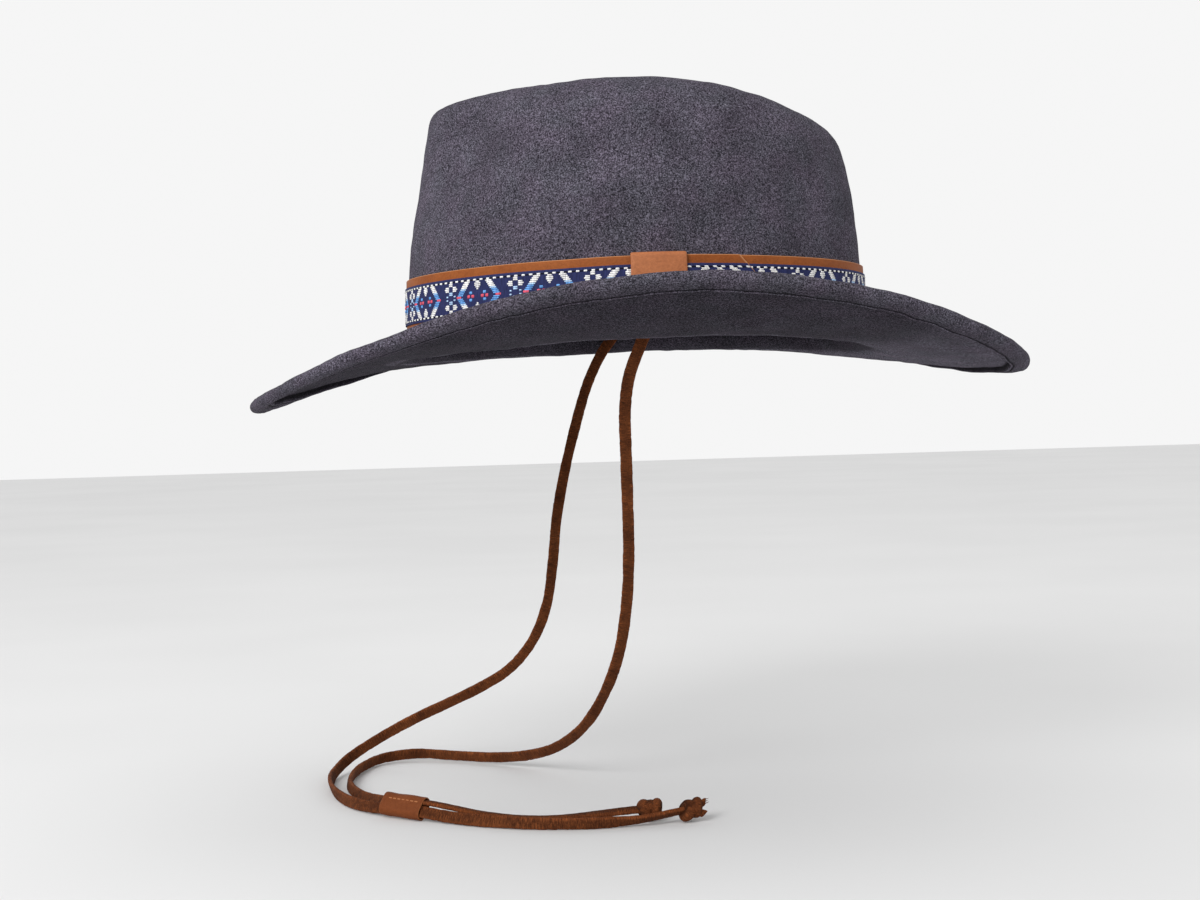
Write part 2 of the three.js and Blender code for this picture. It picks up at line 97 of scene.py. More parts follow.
# Crown rings from the middle of the top dent down to the brim: the reach to the front, back and
# side, the level, the share of the top's long arc, the egg shape and how much the foot follows the brim.
CROWN = dict(
    front=(0, 36, 56, 70, 84, 91.5, 94.5, 98.7, 101.7, 103.6, 104.3),
    back=(0, 40, 58, 71, 81.5, 89.7, 96, 100.5, 102.4, 103.8, 104.3),
    side=(0, 14, 27, 40, 54, 67, 76, 81.5, 84.4, 86.2, 87),
    height=(95, 96.5, 104, 113, 115.2, 110.8, 98.5, 73, 54, 36, 0),
    arc=(0.9, 0.9, 0.95, 1, 1, 0.72, 0.42, 0.15, 0.04, 0, 0),
    egg=(0, 0.3, 0.3, 0.24, 0.16, 0.1, 0.05, 0.02, 0, 0, 0),
    foot=(0, 0, 0, 0, 0, 0, 0, 0, 0, 0, 1),
)
LAST_RING = 10
PINCH = dict(x=-77, y=44, z=89, reach=22, tall=27, depth=8, backward=0.45, inward=0.85)

# The brim every 45 degrees from the back to the front.
BRIM = dict(
    bend=(4.6, 8.6, 10.3, 7.2, 4.4),
    slope=(-14, -7, 3, -4, 2),
    rim=(-12.4, 4.8, 23.6, -2.0, -23.5),
)
RIM = dict(x=0.4, long=178.6, wide=160.0)

# Band
BAND_STEPS = 720
BAND_FOOT = 9.95
BAND_TILT = 0.6
BAND_SAG = 2.1
BELT_HEIGHT = 24.5
BELT_THICK = 1.2
RIBBON_HEIGHT = 17.0
RIBBON_THICK = 0.6
BAND_GAP = 0.35
RIBBON_GAP = 0.2
LAYER_PITCH = BELT_THICK + RIBBON_GAP + RIBBON_THICK + BAND_GAP
SKIVE = 1.5
END_LIFT = 0.35
UNDER_END_X = -17.0
OUTER_END_X = 35.0
CUT_SLANT = 23.0
SLANT_TURN = 0.46
LAP_RAMP = 24.0
LIFT_RAMP = 12.0
PARED_THICK = 0.2
BELT_RADII = (0.32, 0.32)
BELT_DENTS = ((0.05, 21, 14),)
RAW_HIGH = 0.3
RAW_SHADE = 0.7
KEEPER = {"from": -11.0, "to": 11.4, "slack": 0.3, "wall": 1.0, "stand": 0.75, "back": 0.7, "front": 1.1,
          "radii": (0.4, 1.9), "bow": 0.45}
KEEPER_STATIONS = (0, 0.012, 0.04, 0.1, 0.2, 0.3, 0.4, 0.5, 0.6, 0.7, 0.8, 0.9, 0.96, 0.988, 1)
KEEPER_INSET = (0.34, 0.12, 0.02)
KEEPER_DENTS = ((0.05, 31, 9),)
BASE_LONG = CROWN["front"][-1]

# Ribbon. Its repeat is charted row by row, from below the dashes along its selvedge to its
# middle row. The lower half is the same upside down. Each float of thread has an ink, a first column,
# a last column and, where it isn't one row tall, its height in rows. w is white, p pale blue, b light
# blue, c coral and k the black between the dashes. The open flower is at column 0.
REPEAT_COLUMNS = 60
DASHES = 10
RIBBON_FLOATS = (
    (("w", -2, 1), ("w", 14, 19), ("w", 25, 28), ("w", 34, 39)),
    (("w", -2, 1), ("w", 13, 18), ("w", 24, 29), ("w", 35, 40)),
    (("w", -6, -3), ("w", 2, 5), ("w", 12, 17), ("w", 24, 29), ("w", 36, 41)),
    (("w", -7, -3), ("w", 2, 6), ("w", 11, 16), ("w", 25, 28), ("w", 37, 42)),
    (("w", -6, -3), ("w", 2, 5), ("p", 10, 15), ("w", 26, 27), ("p", 38, 43)),
    (("p", -2, 1), ("b", 9, 14), ("b", 39, 44)),
    (("p", -2, 1), ("b", 8, 13), ("b", 19, 21, 1.7), ("b", 32, 34, 1.7), ("b", 40, 45)),
    (("p", -5, -4), ("p", 3, 4), ("b", 7, 12), ("b", 41, 46)),
    (("c", 6, 10, 1.5), ("c", 17, 19, 1.9), ("c", 21, 23, 1.9), ("c", 30, 32, 1.9), ("c", 34, 36, 1.9),
     ("c", 43, 47, 1.5)),
)
RIBBON_INK = {
    "ground": (0.020, 0.026, 0.096),
    "w": (0.93, 0.92, 0.87),
    "p": (0.50, 0.70, 0.92),
    "b": (0.15, 0.38, 0.76),
    "c": (0.76, 0.11, 0.16),
    "k": (0.004, 0.004, 0.012),
}
REPEAT_LENGTH = 34.55
FLOWER_AT = -26.3
SELVEDGE = 1.5
FLOAT_GAP = 0.07
FLOAT_PROUD = 0.24
RIBBON_SHORT = 1.1
RIBBON_RADII = (0.2, 0.2)
RIBBON_CLEAR = 0.02
RIBBON_RUN_STEPS = 6000
# The pad of one float of thread: its stations along and across it, and its width and height at each.
PAD = dict(along=(0, 0.08, 0.5, 0.92, 1), wide=(0.6, 0.95, 1, 0.95, 0.6), high=(-0.2, 0.75, 1, 0.75, -0.2),
           across=(-1, -0.72, 0, 0.72, 1), dome=(-0.3, 0.72, 1, 0.72, -0.3), half=0.48)

# Lace
LACE_WIDE = 5.2
LACE_THICK = 2.2
LACE_SIDES = 20
PLAIN_LACE = 0.5
FACE_ROUND = 0.42
EDGE_ROUND = 0.72
WIDTH_WAVES = ((0.025, 0, 17), (0.012, 1, 4))
FACE_WAVES = ((0.04, 2, 3.2),)
EDGE_NICKS = ((0.11, 3, 1.7),)
LACE_EXIT = (-2.0, 83.0, 9.0)
HIDDEN = dict(long=99.6, wide=82.6, above=1.2, rise=21.0, run=30.0, points=40, crowd=0.11)
NEAR_ROUTE = (
    (-2, -83, 9), (-7.5, -82, -3), (-12, -77, -16), (-13.5, -71, -30), (-12.8, -63, -47), (-11.5, -51, -69),
    (-10.2, -37, -92), (-10, -21, -115), (-12.1, -2, -140), (-17.1, 18, -161), (-25.4, 39, -180),
    (-37, 62, -194), (-51, 84, -202), (-68, 101, -205.5), (-88, 114, -206), (-109, 122, -205.5),
    (-125, 117, -206.2), (-135, 97, -206.6), (-139.5, 72, -206.6), (-140, 50, -206.6), (-137, 32, -206.5),
    (-132, 14, -205.8), (-126, -1, -204.6), (-119, -13.5, -203.2), (-110.5, -20.9, -202.6),
    (-102.7, -26.9, -201.9), (-91, -33.4, -203.4), (-79, -39.4, -205.2), (-62, -45.6, -206.6),
    (-45, -49, -206.6), (-27, -49.5, -205.6), (-12, -51, -204.3),
)
FAR_ROUTE = (
    (-2, 83, 9), (-9.5, 82, -1), (-17, 81, -16), (-23.5, 80, -36), (-29.5, 79, -58), (-34.6, 79, -83),
    (-37.2, 80, -106), (-40.8, 82, -127), (-48, 85, -144.5), (-60, 89, -158.9), (-75, 93, -168.3),
    (-91, 97, -176), (-108, 102, -184), (-126, 106, -193.6), (-141, 98, -201.5), (-148, 83, -205.8),
    (-149.5, 63, -206.6), (-147, 38, -206.6), (-142, 18, -206.6), (-136, 4, -206.6), (-129, -7, -206.4),
    (-120.4, -17.1, -205.6), (-112.5, -23.5, -205.3), (-104.6, -29.7, -205.4), (-93, -38, -206.4),
    (-80, -47, -206.6), (-63, -56, -206.6), (-46, -61.5, -206.6), (-29, -63.5, -206.6),
    (-11, -62, -206.2), (5, -58.5, -204.5),
)
# How each lace's section turns: shares of its length, with degrees.
NEAR_TWIST = ((0, 0), (0.3, 0), (0.5, 45), (0.72, 45), (0.79, 22), (0.806, 22), (0.832, -36),
              (0.93, -36), (1, -14))
FAR_TWIST = ((0, 0), (0.6, 0), (0.73, -49), (0.8, -49), (0.92, 0), (0.97, 36), (1, 36))
NO_TWIST = ((0, 0), (1, 0))
NEAR_INTO_KNOT = (-6.5, -51.8, -204)
FAR_INTO_KNOT = (10.5, -57, -203.9)
KNOT_TAPER = 15.0
KNOT_NARROW = 0.2
SLIDER = dict(middle=(-112.6, -21.4, -204.0), along=(1, -0.79, -0.04), lean=42, length=22.5,
              tall=11.0, deep=6.2, wall=0.8)
SLIDER_INSET = (0.3, 0.1, 0.02)
SLIDER_DENTS = ((0.1, 41, 7),)
SLIDER_CUT_SHADE = 0.2
STITCH = dict(count=7, first=-0.62, spread=1.3, long=1.7, wide=0.6, proud=0.2, sunk=0.05, drop=0.9)

# Knots: the wraps of lace round each core. In each row are its shift along the lace, its tilt and yaw
# in degrees, its half height, its width, how far it rises over the others, and where round it that is.
KNOT_NEAR = dict(middle=(-5.4, -52, -203.9), along=(1, -0.1, 0.1), core=(5.0, 4.0, 4.0), wraps=(
    (-2.3, 16, 14, 3.9, 6.0, 0.45, 200),
    (2.7, -12, -8, 3.8, 4.6, 0.45, 160),
    (0.2, 62, 20, 3.9, 4.6, -0.1, 90),
))
KNOT_FAR = dict(middle=(12.0, -56.5, -203.9), along=(1, 0.15, 0.05), core=(4.8, 3.9, 3.9), wraps=(
    (-1.6, -30, 12, 3.9, 5.2, 0.45, 180),
    (2.3, -12, -8, 3.6, 4.6, 0.4, 0),
    (0.2, -66, -16, 3.9, 4.2, -0.2, 90),
))
# The lace's cut ends at each knot, from and to places beside its middle.
STUBS_NEAR = (dict(start=(1.0, 2.5, 0.2), end=(3.6, 5.4, -0.6), wide=3.6, thick=1.8, strands=0),)
STUBS_FAR = (
    dict(start=(2.5, -0.8, 1.2), end=(6.3, -0.6, 2.6), wide=3.0, thick=1.6, strands=6),
    dict(start=(1.6, -2.0, -1.0), end=(5.4, -2.0, -2.4), wide=3.4, thick=1.6, strands=0),
)
WRAP_SIDES = 72
WRAP_THICK = 1.05
WRAP_DOME = 1.45
WRAP_WAVES = ((0.09, 0, 3.1),)
# Painted shade on the knot's core, where it shows between the wraps.
CORE_PAINTED_SHADE = -0.5
STRAND_SHADE = 0.8
STRAND_THICK = 0.2
UV_APART = 0.01


def unit(v):
    """Vectors of length one, each with the direction of one of v."""
    v = np.asarray(v, float)
    return v / np.linalg.norm(v, axis=-1, keepdims=True)


def ease(share):
    """A soft step from 0 to 1."""
    t = np.clip(share, 0, 1)
    return t * t * (3 - 2 * t)


# Camera, light and world


def make_camera():
    """The photo's view. It looks level, and the picture is shifted up to the hat."""
    data = bpy.data.cameras.new("camera")
    data.sensor_width = SENSOR
    data.lens = FOCAL_PIXELS * SENSOR / IMAGE_WIDTH
    data.shift_x = -HORIZON_PIXELS * math.sin(-CAMERA_ROLL) / IMAGE_WIDTH
    data.shift_y = HORIZON_PIXELS * math.cos(CAMERA_ROLL) / IMAGE_WIDTH
    data.clip_start = 0.02
    data.clip_end = 20
    camera = bpy.data.objects.new("camera", data)
    bpy.context.scene.collection.objects.link(camera)
    right = Vector((math.cos(CAMERA_YAW), -math.sin(CAMERA_YAW), 0))
    look = Vector((math.sin(CAMERA_YAW), math.cos(CAMERA_YAW), 0))
    up = Vector((0, 0, 1))
    rolled_right = right * math.cos(CAMERA_ROLL) + up * math.sin(CAMERA_ROLL)
    rolled_up = up * math.cos(CAMERA_ROLL) - right * math.sin(CAMERA_ROLL)
    place = (right * -CAMERA_SIDE - look * CAMERA_AWAY + up * CAMERA_LEVEL) * MM
    turned = Matrix((rolled_right, rolled_up, -look)).transposed()
    camera.matrix_world = Matrix.Translation(place) @ turned.to_4x4()
    bpy.context.scene.camera = camera


def make_light():
    """A large soft light on the camera's left, turned to the hat."""
    data = bpy.data.lights.new("key", "AREA")
    data.shape = "RECTANGLE"
    data.size = KEY_SIZE
    data.size_y = KEY_SIZE
    data.energy = KEY_POWER
    light = bpy.data.objects.new("key", data)
    light.location = KEY_PLACE
    light.rotation_euler = (-Vector(KEY_PLACE)).to_track_quat("-Z", "Y").to_euler()
    bpy.context.scene.collection.objects.link(light)


def make_world():
    world = bpy.data.worlds.new("studio")
    world.use_nodes = True
    background = world.node_tree.nodes["Background"]
    background.inputs["Color"].default_value = (1, 1, 1, 1)
    background.inputs["Strength"].default_value = WORLD_STRENGTH
    bpy.context.scene.world = world
    bpy.context.scene.view_settings.view_transform = "Standard"


# Meshes


def make_mesh(name, points, faces, smooth=True):
    mesh = bpy.data.meshes.new(name)
    mesh.from_pydata((np.asarray(points) * MM).tolist(), [], faces)
    mesh.validate()
    if smooth:
        mesh.shade_smooth()
    piece = bpy.data.objects.new(name, mesh)
    bpy.context.scene.collection.objects.link(piece)
    return piece


def grid_faces(rows, cols, close_rows=False, close_cols=True, flip=False):
    """Quads between a grid of points, whose rows or columns may close."""
    r = np.arange(rows if close_rows else rows - 1)
    c = np.arange(cols if close_cols else cols - 1)
    rr, cc = np.meshgrid(r, c, indexing="ij")
    r2, c2 = (rr + 1) % rows, (cc + 1) % cols
    quads = np.stack([rr * cols + cc, rr * cols + c2, r2 * cols + c2, r2 * cols + cc], -1).reshape(-1, 4)
    if flip:
        quads = quads[:, ::-1]
    return quads.tolist()


def end_caps(rows, cols):
    """The first and the last row of a grid as flat faces."""
    return [list(range(cols))[::-1], [(rows - 1) * cols + i for i in range(cols)]]


def swept(name, sections, uv):
    """A closed tube of sections (rows, points, 3) with a flat cap at each end."""
    rows, cols = sections.shape[:2]
    piece = make_mesh(name, sections.reshape(-1, 3), grid_faces(rows, cols) + end_caps(rows, cols))
    put_uv(piece, uv)
    return piece


def put_uv(piece, uv):
    """Lays a UV layer in metres over a piece, from one place for each point."""
    layer = piece.data.uv_layers.new(name="flat")
    loops = np.zeros(len(piece.data.loops), np.int32)
    piece.data.loops.foreach_get("vertex_index", loops)
    layer.data.foreach_set("uv", np.asarray(uv, np.float32).reshape(-1, 2)[loops].ravel())


def run_along(points):
    """The length from the first point of a line to each of its points."""
    return np.cumsum(np.linalg.norm(np.diff(points, axis=0, prepend=points[:1]), axis=1))


def grid_uv(run, around):
    """UV places in metres from lengths along a grid and around it."""
    return np.stack(np.broadcast_arrays(run[:, None], around), -1).reshape(-1, 2) * MM


def put_colour(piece, name, colours):
    layer = piece.data.color_attributes.new(name, "FLOAT_COLOR", "POINT")
    rgba = np.concatenate([colours, np.ones((len(colours), 1))], 1)
    layer.data.foreach_set("color", rgba.astype(np.float32).ravel())


def put_shade(piece, name, values, plain=0.0):
    """Paints a grey for each value, from plain for 0 to white for 1."""
    put_colour(piece, name, np.repeat(plain + (1 - plain) * np.asarray(values)[:, None], 3, 1))


class Parts:
    """Grids of points, each with its shade, that are joined into one mesh."""

    def __init__(self):
        self.grids, self.faces, self.shades = [], [], []

    def add(self, grid, shade, **closing):
        rows, cols = grid.shape[:2]
        base = sum(part[..., 0].size for part in self.grids)
        self.grids.append(grid)
        self.faces += [[base + i for i in face] for face in grid_faces(rows, cols, **closing)]
        self.shades.append(np.broadcast_to(shade, (rows, cols)).ravel())

    def join(self, name, layer, plain=0.0):
        piece = make_mesh(name, np.concatenate([grid.reshape(-1, 3) for grid in self.grids]), self.faces)
        put_shade(piece, layer, np.concatenate(self.shades), plain)
        return piece


# The felt's skin


def along_rings(column, place):
    """A row of CROWN as a smooth curve. place counts the rings from 0."""
    values = np.array(CROWN[column], float)
    values = np.concatenate([[2 * values[0] - values[1]], values, [2 * values[-1] - values[-2]]])
    index = np.minimum(np.floor(place).astype(int), LAST_RING - 1)
    t = place - index
    a, b, c, d = (values[index + k] for k in range(4))
    return b + 0.5 * t * (c - a + t * (2 * a - 5 * b + 4 * c - d + t * (3 * (b - c) + d - a)))


def around_brim(column, angle):
    """A row of BRIM as a smooth curve round the brim, the same on both sides."""
    steps = np.arange(5)
    halves = np.array((0.5, 1, 1, 1, 0.5))
    weights = np.cos(math.pi / 4 * np.outer(steps, steps)) @ (halves * BRIM[column])
    return np.cos(np.multiply.outer(angle, steps)) @ (halves * weights / 2)


def top_arc(x):
    """How far the crown's top has fallen away from its peak."""
    away = x - ARC_PEAK_X
    return -np.where(away < 0, ARC_FORWARD, ARC_BACKWARD) * away * away


def pinched(p):
    """Points of the crown pushed in at its two front corners."""
    for side in (-1, 1):
        dx = (p[..., 0] - PINCH["x"]) / PINCH["reach"]
        dy = (p[..., 1] - side * PINCH["y"]) / PINCH["reach"]
        dz = (p[..., 2] - PINCH["z"]) / PINCH["tall"]
        push = PINCH["depth"] * np.exp(-(dx * dx + dy * dy + dz * dz))
        p = p + np.stack([PINCH["backward"] * push, -PINCH["inward"] * side * push, 0 * push], -1)
    return p


def crown_point(place, angle):
    turn = np.cos(angle)
    reach = np.where(turn > 0, along_rings("back", place), along_rings("front", place))
    x = reach * turn
    y = along_rings("side", place) * np.sin(angle) * (1 + along_rings("egg", place) * turn)
    z = along_rings("height", place) + along_rings("arc", place) * top_arc(x)
    z = z + along_rings("foot", place) * around_brim("bend", angle)
    return pinched(np.stack([x, y, z], -1))


def brim_point(share, angle):
    """A point past the wall's foot: the bend ends at share 1, and the rim is at 2."""
    base = crown_point(np.full_like(angle, float(LAST_RING)), angle)
    rim = np.stack([RIM["x"] + RIM["long"] * np.cos(angle), RIM["wide"] * np.sin(angle), 0 * angle], -1)
    out = rim - base
    out[..., 2] = 0
    reach = np.linalg.norm(out, axis=-1)
    out = out / reach[..., None]
    slope = np.radians(around_brim("slope", angle))
    turned = (math.pi / 2 + slope) * np.minimum(share, 1)
    away = FILLET * (1 - np.cos(turned))
    z = base[..., 2] - FILLET * np.sin(turned)
    span = reach - away
    run = span * np.maximum(share - 1, 0)
    curl = (around_brim("rim", angle) - z - np.tan(slope) * span) / (span * span)
    z = z + np.tan(slope) * run + curl * run * run
    away = away + run
    p = base + out * away[..., None]
    p[..., 2] = z
    return p


def skin_point(place, angle):
    """A point of the felt's outer skin."""
    place, angle = np.broadcast_arrays(np.asarray(place, float), np.asarray(angle, float))
    crown = crown_point(np.clip(place, 0, FOOT_PLACE) * LAST_RING, angle)
    brim = brim_point(np.clip(place - FOOT_PLACE, 0, RIM_PLACE - FOOT_PLACE), angle)
    return np.where((place < FOOT_PLACE)[..., None], crown, brim)


def skin_normal(place, angle):
    place, angle = np.broadcast_arrays(np.asarray(place, float), np.asarray(angle, float))
    step = 0.002
    below, above = np.minimum(place + step, RIM_PLACE), np.maximum(place - step, step)
    down = skin_point(below, angle) - skin_point(above, angle)
    round_ = skin_point(place, angle + step) - skin_point(place, angle - step)
    return unit(np.cross(down, round_))


def waves(points, seed, size, count=24):
    """Soft unevenness, mostly within -1 to 1, over lengths of about size."""
    rng = np.random.default_rng(seed)
    total = np.zeros(points.shape[:-1])
    for _ in range(count):
        direction = unit(rng.normal(size=3))
        pitch = size * rng.uniform(0.7, 1.6)
        total += np.sin(TAU * (points @ direction) / pitch + rng.uniform(0, TAU))
    return total / math.sqrt(count)


def uneven(points, rows, seed=0):
    """Waves added up, by rows of depth, seed and length."""
    return sum(depth * waves(points, seed + number, size) for depth, number, size in rows)


# Felt body


def felt_body():
    """One closed skin: down the outside, round the rim, under the folded edge and up inside."""
    angle = np.linspace(0, TAU, FELT_SIDES, endpoint=False)
    rows, painted_shading = [], []

    # dark is each row's painted shade: above 0 it darkens the felt, below 0 it is a painted highlight.
    def add(points, normal, dented=1.0, dark=0.0):
        rows.append(points + normal * (dented * uneven(points, FELT_DENTS))[..., None])
        painted_shading.append(np.broadcast_to(dark, angle.shape))

    def add_under_skin(place, depth, dented=1.0, dark=0.0):
        normal = skin_normal(place, angle)
        add(skin_point(place, angle) - depth * FELT * normal, normal, dented, dark)

    crown = np.linspace(0, FOOT_PLACE, FELT_ROWS["crown"])[1:-1]
    bend = np.linspace(FOOT_PLACE, BEND_PLACE, FELT_ROWS["bend"], endpoint=False)
    brim = np.linspace(BEND_PLACE, RIM_PLACE, FELT_ROWS["brim"], endpoint=False)
    for place in np.concatenate([crown, bend, brim]):
        add_under_skin(place, 0)

    rim, normal = skin_point(RIM_PLACE, angle), skin_normal(RIM_PLACE, angle)
    out = unit(rim - skin_point(RIM_PLACE - 0.1, angle))
    for turn in np.linspace(0, math.pi, FELT_ROWS["rim"]):
        edge = rim - normal * FELT * (1 - math.cos(turn)) + out * FELT * (math.sin(turn) - 1)
        add(edge, normal, WELT_DENTED)

    brim_width = np.linalg.norm(rim - skin_point(BEND_PLACE, angle), axis=-1)
    welt = (WELT_WIDTH + uneven(rim, WELT_RAGGED)) / brim_width
    # The folded edge's rows carry painted shade: a painted shadow in its groove and past its raw edge, and
    # a painted highlight beside the groove.
    for share, depth, dark in WELT_ROWS:
        add_under_skin(RIM_PLACE - welt * share, depth, WELT_DENTED, dark)

    past_welt = RIM_PLACE - welt * PAST_WELT
    # Painted shade under the brim, with painted light toward the back and a painted highlight at the bend.
    under_painted_shade = UNDER_PAINTED_SHADE - BACK_PAINTED_LIGHT * ease(np.cos(angle) * 3 - 1.8)
    for share in np.linspace(0, 1, FELT_ROWS["under"]):
        dark = under_painted_shade * (1 - BEND_PAINTED_HIGHLIGHT * ease(share * 9 - 8))
        add_under_skin(past_welt + (BEND_PLACE - past_welt) * share, 1, dark=dark)

    # Painted shade inside the crown.
    inner_bend = np.linspace(BEND_PLACE, FOOT_PLACE, FELT_ROWS["inner_bend"])[1:]
    inner_crown = np.linspace(FOOT_PLACE, 0, FELT_ROWS["inner_crown"])[1:-1]
    for place in np.concatenate([inner_bend, inner_crown]):
        add_under_skin(place, 1, dark=UNDER_PAINTED_SHADE)

    grid = np.stack(rows)
    count = grid.shape[0] * FELT_SIDES
    top = skin_point(0.0, 0.0)
    points = np.concatenate([grid.reshape(-1, 3), [top, top - (0, 0, FELT)]])
    faces = grid_faces(grid.shape[0], FELT_SIDES, flip=True)
    for i in range(FELT_SIDES):
        j = (i + 1) % FELT_SIDES
        faces.append([count, i, j])
        faces.append([count + 1, count - FELT_SIDES + j, count - FELT_SIDES + i])
    piece = make_mesh("felt", points, faces)
    # The shade layer painted here holds painted shade under the brim, by the welt's groove and raw edge and
    # inside the crown, and painted light toward the back and by the bend.
    put_shade(piece, "painted_shade_and_light", np.concatenate(painted_shading + [np.zeros(2)]), PLAIN_FELT)
    return piece


# Band


def wall_point(angle, height, proud):
    """A point by the crown's wall, by height over the band's foot and distance from the felt."""
    angle, height, proud = np.broadcast_arrays(angle, height, proud)
    bend = around_brim("bend", angle)
    foot = BAND_FOOT + BAND_TILT * np.cos(angle) - BAND_SAG * np.cos(angle) ** 2
    share = np.clip((foot + height - bend) / (CROWN["height"][-2] - bend), 0, 1)
    long = BASE_LONG + (CROWN["back"][-2] - BASE_LONG) * share
    wide = CROWN["side"][-1] + (CROWN["side"][-2] - CROWN["side"][-1]) * share
    normal = unit(np.stack([np.cos(angle) / long, np.sin(angle) / wide, 0 * angle], -1))
    place = np.stack([long * np.cos(angle), wide * np.sin(angle), foot + height], -1)
    return place + normal * proud[..., None]


def side_angle(x):
    """The angle round the crown at a place x along its near side."""
    return -math.pi / 2 + math.asin(x / BASE_LONG)


BAND_START = side_angle(UNDER_END_X)
BAND_END = side_angle(OUTER_END_X) + TAU


def stand_off(angle):
    """The gap behind the belt, wider by the keeper and where the belt laps over its start."""
    side = (angle + math.pi / 2 + math.pi) % TAU - math.pi
    x = BASE_LONG * side
    beyond = np.maximum(np.maximum(KEEPER["from"] - x, x - KEEPER["to"]), 0)
    keeper_lift = (KEEPER["stand"] + KEEPER["back"]) * (1 - ease(beyond / LAP_RAMP))
    lap = ease((angle - BAND_START - TAU) * BASE_LONG / LAP_RAMP + 1)
    return BAND_GAP + keeper_lift + lap * LAYER_PITCH


def end_lift(angle):
    """How far the belt's last stretch lifts, with the ribbon on it."""
    return END_LIFT * (1 - ease((BAND_END - angle) * BASE_LONG / LIFT_RAMP))


def slanted(angle, height):
    """The belt's outer end is cut on a slant: its last stretch leans with the cut."""
    near = np.clip(1 - (BAND_END - angle) / SLANT_TURN, 0, 1)
    return angle + (CUT_SLANT / BASE_LONG) * near * (1 - height / BELT_HEIGHT)


def rounded_outline(low, high, inside, outside, radii, face_points, steps=3, bow=0.0):
    """A strip's outline with rounded corners: height, distance from the felt, and where it faces."""
    back, front = radii
    corners = (
        (low + back, inside + back, back), (low + front, outside - front, front),
        (high - front, outside - front, front), (high - back, inside + back, back),
    )
    points = []
    for corner, (height, away, radius) in enumerate(corners):
        for step in range(steps + 1):
            turn = math.radians(270 - 90 * (corner + step / steps))
            facing = (math.cos(turn), math.sin(turn))
            points.append((height + radius * facing[0], away + radius * facing[1], *facing))
        for share in np.linspace(0, 1, face_points + 2)[1:-1]:
            climb = (high - low - 2 * front) * share
            if corner == 1:
                points.append((low + front + climb, outside + bow * math.sin(math.pi * share), 0, 1))
            if corner == 3:
                points.append((high - front - climb, inside, 0, -1))
    return np.array(points)


def band_leather():
    """The belt. Its outer end is pared thin on the slant and lifts a little, and its edges are raw."""
    angle = np.linspace(BAND_START, BAND_END, BAND_STEPS)
    skive = SKIVE / BASE_LONG
    angle = np.concatenate([angle[angle < BAND_END - skive], BAND_END - skive * np.linspace(1, 0, 5)])
    outline = rounded_outline(0, BELT_HEIGHT, 0, BELT_THICK, BELT_RADII, 9)
    a, h = np.meshgrid(angle, outline[:, 0], indexing="ij")
    full = np.clip((BAND_END - a) / skive, 0, 1)
    proud = outline[:, 1] * (PARED_THICK + (1 - PARED_THICK) * full) + end_lift(a)
    at = slanted(a, h)
    place = wall_point(at, h, stand_off(at) + proud)
    place = place + uneven(place, BELT_DENTS)[..., None] * unit(place * (1, 1, 0))
    piece = swept("belt", place, np.stack([BASE_LONG * a, h + proud], -1) * MM)
    raw = RAW_SHADE * ((h < RAW_HIGH) | (h > BELT_HEIGHT - RAW_HIGH))
    put_shade(piece, "raw", np.maximum(raw, 1 - full).ravel())
    return piece


def ribbon_floats(flower, length):
    """A row for each float of thread: its two ends along the ribbon, its level, height and ink."""
    column = REPEAT_LENGTH / REPEAT_COLUMNS
    last_row = len(RIBBON_FLOATS)
    pitch = (RIBBON_HEIGHT / 2 - SELVEDGE) / last_row
    step = REPEAT_COLUMNS // DASHES
    dashes = []
    for dash in range(DASHES):
        dashes.append(("w", dash * step - 1, dash * step + 1, 1.15))
        dashes.append(("k", dash * step + 2, dash * step + 4))
    found = []
    first_repeat = math.floor(-flower / REPEAT_LENGTH)
    last_repeat = math.ceil((length - flower) / REPEAT_LENGTH)
    for repeat in range(first_repeat, last_repeat + 1):
        offset = flower + repeat * REPEAT_LENGTH
        for row, floats in enumerate((tuple(dashes),) + RIBBON_FLOATS):
            for ink, first, last, *tall in floats:
                start = offset + first * column + FLOAT_GAP
                end = offset + (last + 1) * column - FLOAT_GAP
                if start < FLOAT_GAP or end > length - FLOAT_GAP:
                    continue
                for side in (-1, 1) if row < last_row else (0,):
                    level = BELT_HEIGHT / 2 + side * (last_row - row) * pitch
                    found.append((start, end, level, pitch * (*tall, 1)[0], *RIBBON_INK[ink]))
    return np.array(found)


